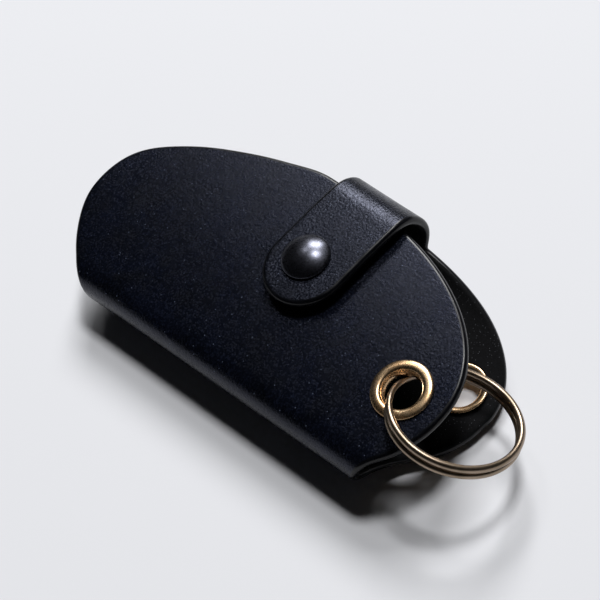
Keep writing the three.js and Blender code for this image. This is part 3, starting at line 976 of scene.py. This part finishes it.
# The snap's four pressed pieces, with heights from the front leaf's outer face
snap_place = seat(STRAP_X, front_path, snap_on_front)
strap_top = STRAP_LIFT + STRAP_THICKNESS
cap_seat = strap_top + SEAT_GAP
socket_top = strap_top - SEAT_GAP
socket_ceiling = socket_top - SOCKET_TOP_WALL
spring_floor = STRAP_LIFT - SEAT_GAP - SNAP_SHEET
stud_top = SEAT_GAP + STUD_HEIGHT
post_under = -LEATHER - SEAT_GAP
ball = (CAP_RADIUS**2 + CAP_DOME**2) / (2 * CAP_DOME)
half_dome = math.asin(CAP_RADIUS / ball)
dome = [
    (ball * math.sin(turn), cap_seat + CAP_RIM + CAP_DOME - ball + ball * math.cos(turn))
    for turn in spread(half_dome * CAP_DOME_SHARE, 0, 24)
]
snap_cap = turned_piece(
    "snap_cap_dome",
    [
        (0, socket_ceiling),
        (CAP_POST, socket_ceiling),
        (CAP_POST, cap_seat),
        (CAP_RADIUS - CAP_CORNER, cap_seat),
        *arc(CAP_RADIUS - CAP_CORNER, cap_seat + CAP_CORNER, CAP_CORNER, CAP_CORNER, -90, 60, 8),
        *dome,
    ],
    black_nickel,
    snap_place,
)
socket_corner = (SOCKET_CORNER, SOCKET_CORNER)
snap_socket = turned_piece(
    "snap_socket_cup",
    [
        (SOCKET_BORE, spring_floor + SOCKET_LEAD_IN),
        (SOCKET_BORE + SOCKET_LEAD_IN, spring_floor),
        *arc(SOCKET_FLANGE - SOCKET_CORNER, spring_floor + SOCKET_CORNER, *socket_corner, -90, 90, 8),
        (SOCKET_NECK, spring_floor + SNAP_SHEET),
        *arc(SOCKET_SHOULDER - SOCKET_CORNER, socket_top - SOCKET_CORNER, *socket_corner, 0, 90, 5),
        (CAP_POST + SEAT_GAP, socket_top),
        (CAP_POST + SEAT_GAP, socket_ceiling),
        (SOCKET_BORE, socket_ceiling),
    ],
    black_nickel,
    snap_place,
)
stud_rim_radius, stud_rim_height = STUD_FLANGE_RIM
stud_round = (STUD_ROUND, STUD_ROUND)
snap_stud = turned_piece(
    "snap_stud_post",
    [
        (0, SEAT_GAP),
        (STUD_FLANGE, SEAT_GAP),
        *arc(stud_rim_radius, SEAT_GAP + stud_rim_height, *STUD_FLANGE_ROUND, -60, 90, 5),
        (STUD_BASE_RADIUS, SEAT_GAP + STUD_BASE),
        *arc(STUD_NECK + STUD_ROUND, SEAT_GAP + STUD_BASE + STUD_ROUND, *stud_round, 270, 180, 5),
        (STUD_NECK, stud_top - 2 * STUD_ROUND),
        *arc(STUD_HEAD - STUD_ROUND, stud_top - STUD_ROUND, *stud_round, -20, 90, 7),
        (0, stud_top),
    ],
    black_nickel,
    snap_place,
)
post_round = SNAP_SHEET / 2
snap_post = turned_piece(
    "snap_rivet_post",
    [
        (0, post_under - SNAP_SHEET),
        (POST_HEAD, post_under - SNAP_SHEET),
        *arc(POST_HEAD_RIM, post_under - post_round, post_round, post_round, -70, 80, 6),
        (POST_STEM, post_under),
        (POST_STEM, 0),
        (0, 0),
    ],
    black_nickel,
    snap_place,
)


# An eyelet: domed flange, waisted barrel with a small step inside, and a rolled lip on the flesh side
def eyelet(name, place, bow):
    hole = EYELET_HOLE / 2
    under = SEAT_GAP
    over = -LEATHER - SEAT_GAP + bow
    top, bottom = under + EYELET_DOME, over - EYELET_LIP_HEIGHT
    middle, half = (top + bottom) / 2, (top - bottom) / 2
    crown = hole + EYELET_CROWN
    profile = arc(hole + EYELET_FLARE, middle, -EYELET_FLARE, half, -90, 38, 24)
    step_r, step_h = profile[-1]
    profile += [(step_r + out, step_h + up) for out, up in EYELET_STEP]
    inner_r, inner_h = step_r + EYELET_STEP_END[0], step_h + EYELET_STEP_END[1]
    profile += arc(crown, inner_h, crown - inner_r, top - inner_h, 180, 90, 10)
    profile += arc(crown, under + EYELET_RIM, EYELET_FLANGE - crown, EYELET_DOME - EYELET_RIM, 90, 0, 16)[1:]
    lip_out, lip_up = EYELET_LIP_ROUND
    profile += [
        (EYELET_FLANGE - EYELET_RIM_EASE, under + EYELET_RIM_EASE),
        (EYELET_FLANGE - EYELET_RIM, under),
        (hole + EYELET_WALL, under),
        (hole + EYELET_WALL, over),
        (EYELET_LIP - EYELET_RIM, over),
        *arc(EYELET_LIP - EYELET_RIM, over - EYELET_RIM, EYELET_RIM, EYELET_RIM, 90, 0, 4),
        *arc(EYELET_LIP - lip_out, bottom + lip_up, lip_out, lip_up, 0, -90, 4),
    ]
    return turned_piece(name, profile, satin_brass, place)


# The rear leaf is hollow on its flesh side, so the lip of its eyelet stands further off
rear_bow = -(EYELET_LIP**2) / (2 * REAR_BOW_RADIUS)
front_place = seat(FRONT_EYELET[0], front_path, FRONT_EYELET[1] - FOLD_FRONT_SHARE)
rear_place = seat(REAR_EYELET[0], rear_path, REAR_EYELET[1] - rear_share)
front_eyelet = eyelet("front_eyelet_brass", front_place, 0)
rear_eyelet = eyelet("rear_eyelet_brass", rear_place, rear_bow)


def ring_turn(share):
    return (RING_SWEEP + RING_LEAD) * share - RING_LEAD


def ring_line():
    line = []
    for share in spread(0, 1, RING_STEPS):
        turn = ring_turn(share)
        crossed = smooth_step((turn - 2 * math.pi + RING_CROSSING) / RING_CROSSING)
        line.append((RING_RADIUS, turn, RING_PITCH * (crossed - 0.5)))
    return line


# The wire is full where the two turns lie together, thin where it crosses through the eyelet, and blunt at
# its ends
def ring_section(share):
    turn = ring_turn(share)
    start, stop = 2 * math.pi - RING_CROSSING, 2 * math.pi
    beside = min(max(start - turn, turn - stop), max(turn, 0))
    full = smooth_step(beside / RING_FULL_FADE)
    out = RING_WIRE / 2 + (RING_FULL_OUT - RING_WIRE / 2) * full
    up = RING_WIRE / 2 + (RING_FULL_UP - RING_WIRE / 2) * full
    end = min(share, 1 - share) * (RING_SWEEP + RING_LEAD) * RING_RADIUS
    taper = math.sqrt(max(1 - (1 - min(end / RING_END_ROUND, 1)) ** 2, RING_END_BLUNT**2))
    return [
        (out * taper * math.cos(around), up * taper * math.sin(around))
        for around in round_turns(RING_SIDES)
    ]


ring_place = front_place @ Matrix.Translation([value * MM for value in RING_FROM_EYELET])
for turn, axis in zip(RING_TURN, "XYZ"):
    ring_place = ring_place @ Matrix.Rotation(turn, 4, axis)
key_ring = wire_piece("split_key_ring", ring_line(), ring_section, aged_brass_plate, ring_place)

# The snap's spring: a wire ring with a gap, on the socket's floor
spring_line = [
    (
        SOCKET_BORE - SPRING_WIRE_RADIUS - SEAT_GAP,
        SPRING_OPEN + (2 * math.pi - 2 * SPRING_OPEN) * share,
        spring_floor + SPRING_WIRE_RADIUS,
    )
    for share in spread(0, 1, SPRING_STEPS)
]
spring_round = [
    (SPRING_WIRE_RADIUS * math.cos(around), SPRING_WIRE_RADIUS * math.sin(around))
    for around in round_turns(SPRING_SIDES)
]
snap_spring = wire_piece(
    "snap_spring_wire", spring_line, lambda share: spring_round, bright_spring_steel, snap_place
)

# What each piece stands for, moves with and is made of
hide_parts("front_leaf", "spine", "rear_leaf")
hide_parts("strap")
for piece, node, body, slot in (
    (snap_cap, "snap_cap", "strap_end", "black_nickel"),
    (snap_socket, "snap_socket", "strap_end", "black_nickel"),
    (snap_spring, "snap_spring", "strap_end", "spring_steel"),
    (snap_stud, "snap_stud", "front", "black_nickel"),
    (snap_post, "snap_post", "front", "black_nickel"),
    (front_eyelet, "front_eyelet", "front", "eyelet_brass"),
    (rear_eyelet, "rear_eyelet", "rear", "eyelet_brass"),
    (key_ring, "key_ring", "ring", "ring_bronze"),
):
    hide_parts(node)
    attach(piece, body)


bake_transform(cover)
hinge_y, hinge_z, hinge_angle = off_path(strap_path, strap_hinge, STRAP_THICKNESS / 2)
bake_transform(strap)

# Floor of board painted matt, in metres: pale, a little cold and without gloss
FLOOR_HALF = 1.5
floor_mesh = bpy.data.meshes.new("floor")
floor_mesh.from_pydata(
    [(FLOOR_HALF * x, FLOOR_HALF * y, 0) for x, y in ((-1, -1), (1, -1), (1, 1), (-1, 1))],
    [],
    [[0, 1, 2, 3]],
)
floor = into_scene("floor", floor_mesh)
floor_material, floor_tree = new_material("pale_painted_board")
floor_shader = add(
    floor_tree,
    "BsdfPrincipled",
    {"Base Color": linear("#e6e7eb"), "Roughness": 0.9, "Specular IOR Level": 0.2},
)
add(floor_tree, "OutputMaterial", {"Surface": floor_shader.outputs["BSDF"]})
floor_mesh.materials.append(floor_material)

# Plain soft studio light, in metres and watts, aimed at the cover: a lamp overhead, a broad one like a window
# behind on the left, and a small one that lifts the upper leaf
for name, place, size, watts in (
    ("overhead_lamp", (-0.22, 1.02, 2.81), 0.60, 44.0),
    ("window_lamp", (-1.26, 1.83, 2.01), 1.05, 70.0),
    ("leaf_lamp", (-1.56, 0.75, 2.45), 0.35, 4.0),
):
    light = bpy.data.lights.new(name, "AREA")
    light.size = size
    light.energy = watts
    lamp = into_scene(name, light)
    lamp.location = place
    lamp.rotation_euler = (-Vector(place)).to_track_quat("-Z", "Y").to_euler()
world = bpy.data.worlds.new("pale_room")
world.use_nodes = True
room = world.node_tree.nodes["Background"]
room.inputs["Color"].default_value = linear("#eef0f4")
room.inputs["Strength"].default_value = 0.01
bpy.context.scene.world = world

# Camera at the photographed angle
CAMERA_PLACE = (180.60, -124.10, 268.46)
CAMERA_RIGHT = Vector((0.7127, 0.6776, -0.1816))
CAMERA_UP = Vector((-0.4495, 0.6398, 0.6233))
camera_data = bpy.data.cameras.new("camera")
camera_data.lens = 100.0
camera_data.sensor_width = 36.0
camera_data.clip_start = 0.01
camera = into_scene("camera", camera_data)
right = CAMERA_RIGHT.normalized()
up = (CAMERA_UP - right * CAMERA_UP.dot(right)).normalized()
axes = Matrix((right, up, right.cross(up))).transposed().to_4x4()
camera.matrix_world = Matrix.Translation([value * MM for value in CAMERA_PLACE]) @ axes
bpy.context.scene.camera = camera
bpy.context.scene.view_settings.view_transform = "Standard"
